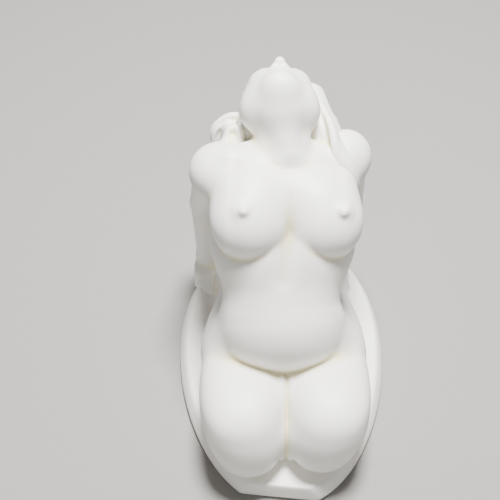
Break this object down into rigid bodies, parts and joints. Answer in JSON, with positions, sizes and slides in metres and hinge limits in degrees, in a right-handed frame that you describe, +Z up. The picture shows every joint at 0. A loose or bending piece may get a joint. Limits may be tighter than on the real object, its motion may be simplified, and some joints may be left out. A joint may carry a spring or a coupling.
{
  "type": "statuette",
  "caption": "Small white cast statuette of a nude figure kneeling back on its heels on an oval plinth, back arched, head thrown back, hands on the rim behind",
  "frame": {"origin": "middle of the plinth's flat underside", "axes": "+Z up, the figure faces -Y, and the plinth's long axis runs along Y"},
  "size_m": [0.052, 0.08, 0.0753],
  "materials": {
    "cast": "satin white cast gypsum, smooth, with a few pinholes and faint layer lines from the master"
  },
  "bodies": {
    "root": {"plinth": "cast", "right_lower_leg": "cast", "left_lower_leg": "cast", "right_thigh": "cast", "left_thigh": "cast", "torso": "cast", "head": "cast", "hair": "cast", "right_arm": "cast", "left_arm": "cast", "right_hand": "cast", "left_hand": "cast"}
  },
  "joints": []
}
